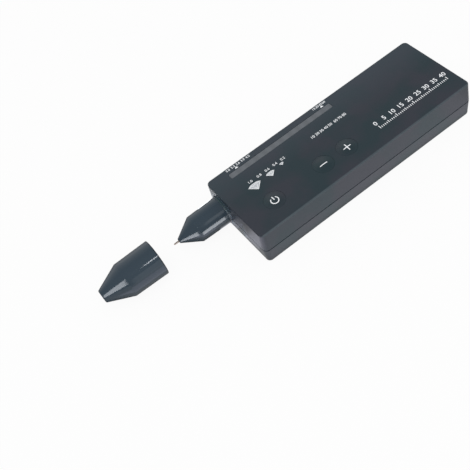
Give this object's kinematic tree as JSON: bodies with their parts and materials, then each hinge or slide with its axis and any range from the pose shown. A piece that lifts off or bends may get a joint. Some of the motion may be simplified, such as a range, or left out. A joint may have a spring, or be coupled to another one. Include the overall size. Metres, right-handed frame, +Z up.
{
  "type": "diamond tester",
  "caption": "Pocket thermal diamond tester: flat two-shell case with light window, round keys and tail inlet, off-centre conical probe with sprung needle, and pull-off probe cap.",
  "frame": {"origin": "centre of the case's flat back face, which it rests on", "axes": "+X along the case towards the probe's tip, +Y towards the long side that the keys lie near, +Z up out of the face with the keys"},
  "size_m": [0.1861, 0.043, 0.0199],
  "materials": {
    "case_plastic": "fine satin",
    "smoked_plastic": "smoked, smooth",
    "button_plastic": "smooth",
    "probe_plastic": "gloss",
    "copper": "drawn copper alloy",
    "socket_steel": "plated",
    "board_laminate": "green solder mask",
    "chip_resin": "moulded resin",
    "can_metal": "drawn can",
    "battery_foil": "foil pouch",
    "foam": "foam",
    "white_plastic": "natural nylon",
    "red_sleeve": "wire sleeve",
    "black_sleeve": "wire sleeve",
    "ceramic": "ceramic block",
    "spring_steel": "spring wire",
    "enamel": "enamelled copper wire",
    "screw_steel": "zinc plated",
    "switch_steel": "stamped cover",
    "plunger_plastic": "moulded",
    "lamp_resin": "frosted resin"
  },
  "bodies": {
    "case": {"upper_shell": "case_plastic", "lower_shell": "case_plastic", "light_window": "smoked_plastic", "probe_sleeve": "probe_plastic", "charging_socket": "socket_steel", "circuit_board": "board_laminate", "controller_chip": "chip_resin", "amplifier_chip": "chip_resin", "charger_chip": "chip_resin", "smoothing_capacitor": "can_metal", "buzzer": "chip_resin", "battery": "battery_foil", "battery_pad": "foam", "battery_connector": "white_plastic", "battery_lead_positive": "red_sleeve", "battery_lead_negative": "black_sleeve", "probe_spring": "spring_steel", "probe_plug": "white_plastic", "sensor_lead_1": "enamel", "sensor_lead_2": "enamel", "board_screw_1": "screw_steel", "board_screw_2": "screw_steel", "board_screw_3": "screw_steel", "case_screw_1": "screw_steel", "case_screw_2": "screw_steel", "case_screw_3": "screw_steel", "case_screw_4": "screw_steel", "power_switch": "switch_steel", "minus_switch": "switch_steel", "plus_switch": "switch_steel", "lamp_01": "lamp_resin", "lamp_02": "lamp_resin", "lamp_03": "lamp_resin", "lamp_04": "lamp_resin", "lamp_05": "lamp_resin", "lamp_06": "lamp_resin", "lamp_07": "lamp_resin", "lamp_08": "lamp_resin", "lamp_09": "lamp_resin", "lamp_10": "lamp_resin", "lamp_11": "lamp_resin", "lamp_12": "lamp_resin"},
    "power_key": {"power_button": "button_plastic", "power_plunger": "plunger_plastic"},
    "minus_key": {"minus_button": "button_plastic", "minus_plunger": "plunger_plastic"},
    "plus_key": {"plus_button": "button_plastic", "plus_plunger": "plunger_plastic"},
    "needle": {"probe_needle": "copper", "sensor_block": "ceramic"},
    "cap": {"probe_cap": "probe_plastic"}
  },
  "joints": [
    {"name": "power_press", "type": "slide", "parent": "case", "child": "power_key", "axis": [0, 0, -1], "range_m": [0, 0.0005], "stiffness_N_per_m": 1500, "springref_m": -0.0006},
    {"name": "minus_press", "type": "slide", "parent": "case", "child": "minus_key", "axis": [0, 0, -1], "range_m": [0, 0.0005], "stiffness_N_per_m": 1500, "springref_m": -0.0006},
    {"name": "plus_press", "type": "slide", "parent": "case", "child": "plus_key", "axis": [0, 0, -1], "range_m": [0, 0.0005], "stiffness_N_per_m": 1500, "springref_m": -0.0006},
    {"name": "needle_retract", "type": "slide", "parent": "case", "child": "needle", "axis": [-1, 0, 0], "range_m": [0, 0.0015], "stiffness_N_per_m": 200, "springref_m": -0.003, "deforming": ["probe_spring"]},
    {"name": "cap_slide", "type": "slide", "parent": "case", "child": "cap", "axis": [-1, 0, 0], "range_m": [0, 0.0361]}
  ]
}
